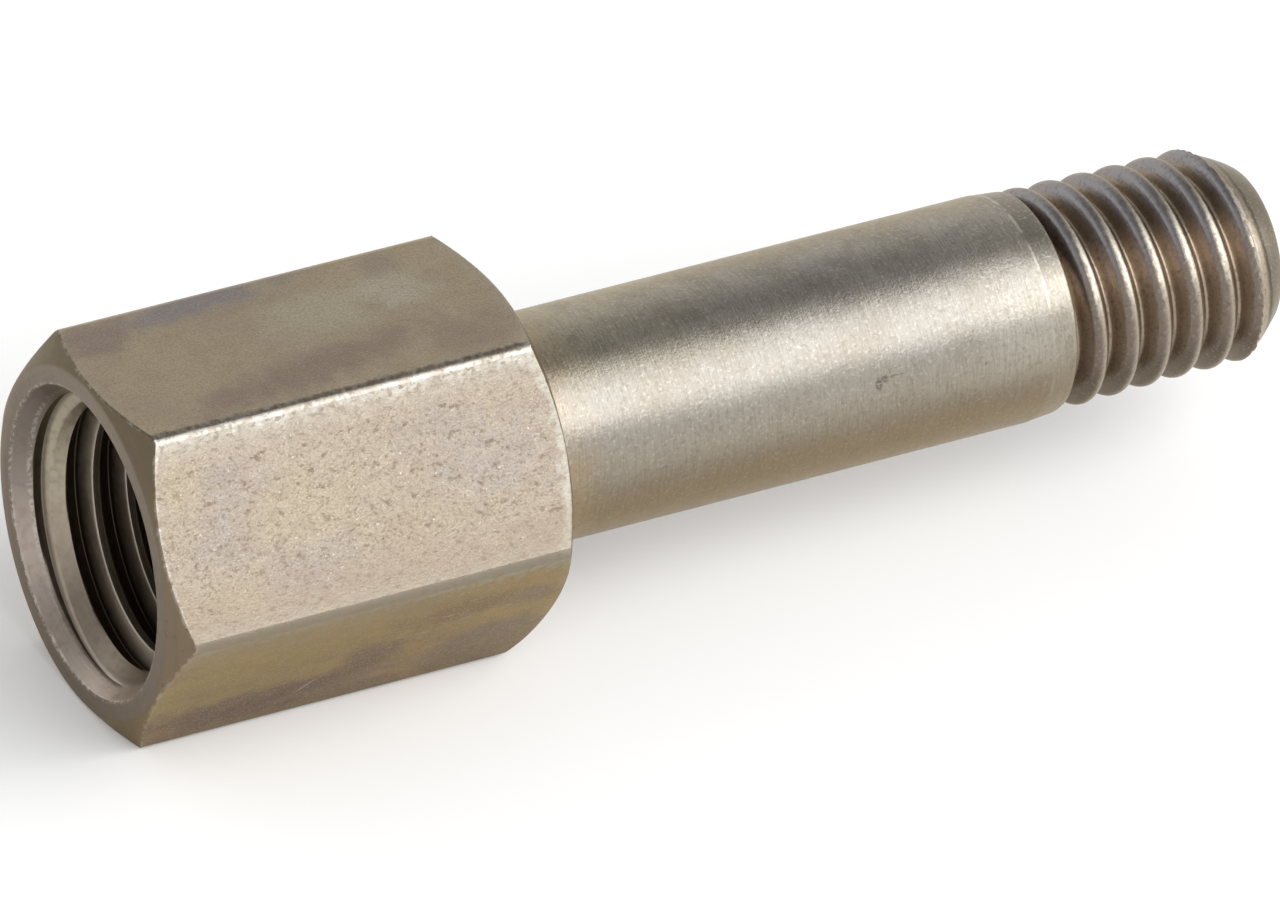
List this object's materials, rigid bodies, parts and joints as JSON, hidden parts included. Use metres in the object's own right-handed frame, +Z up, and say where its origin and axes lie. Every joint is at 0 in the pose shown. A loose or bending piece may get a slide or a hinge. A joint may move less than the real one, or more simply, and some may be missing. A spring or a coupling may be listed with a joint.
{
  "type": "threaded extension",
  "caption": "Hexagon-bodied steel extension with a tapped blind socket at one end, a plain round shank and a threaded stud at the other, to lengthen a screwed connection.",
  "frame": {"origin": "middle of the socket's mouth, on the near end face of the hexagon", "axes": "+X along the part's axis, from the socket towards the stud; +Z up, square to the upper flat of the hexagon"},
  "size_m": [0.0354, 0.0114, 0.01],
  "materials": {
    "passivated_steel": "turned and drawn steel with a satin zinc coat, passivated to a warm olive-grey with faint lavender and gold tints"
  },
  "bodies": {
    "root": {"threaded_extension": "passivated_steel"}
  },
  "joints": []
}
